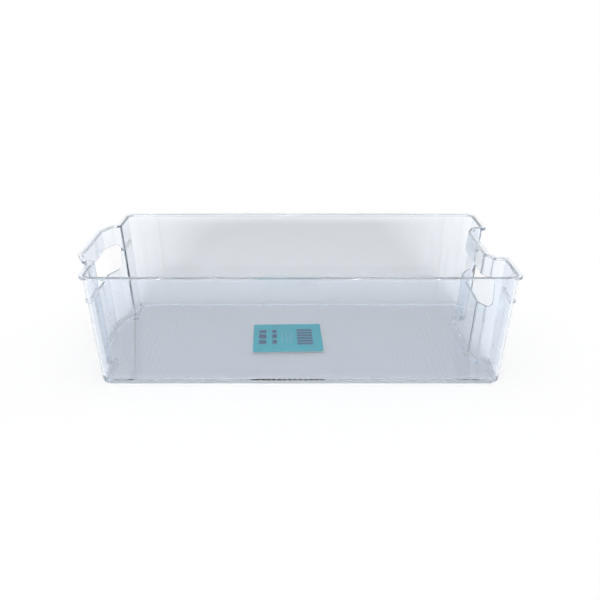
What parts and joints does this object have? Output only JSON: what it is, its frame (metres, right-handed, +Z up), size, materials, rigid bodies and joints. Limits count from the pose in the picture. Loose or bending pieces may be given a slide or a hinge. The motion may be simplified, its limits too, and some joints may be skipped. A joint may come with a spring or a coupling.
{
  "type": "fridge organizer bin",
  "caption": "Clear open-top fridge storage bin with hand holes in its end walls, which step outward at the left and inward at the right, a finely ribbed floor raised on a foot rim and a plain paper label on it.",
  "frame": {"origin": "on the surface the bin stands on, under the middle of its overall length and width", "axes": "+X along the length towards the end with the recess, +Y from front wall to back wall, +Z up"},
  "size_m": [0.38, 0.205, 0.1],
  "materials": {
    "clear_plastic": "polished clear moulding with a faint blue-grey tint",
    "label_paper": "printed paper, satin"
  },
  "bodies": {
    "root": {"bin_body": "clear_plastic", "floor_label": "label_paper"}
  },
  "joints": []
}
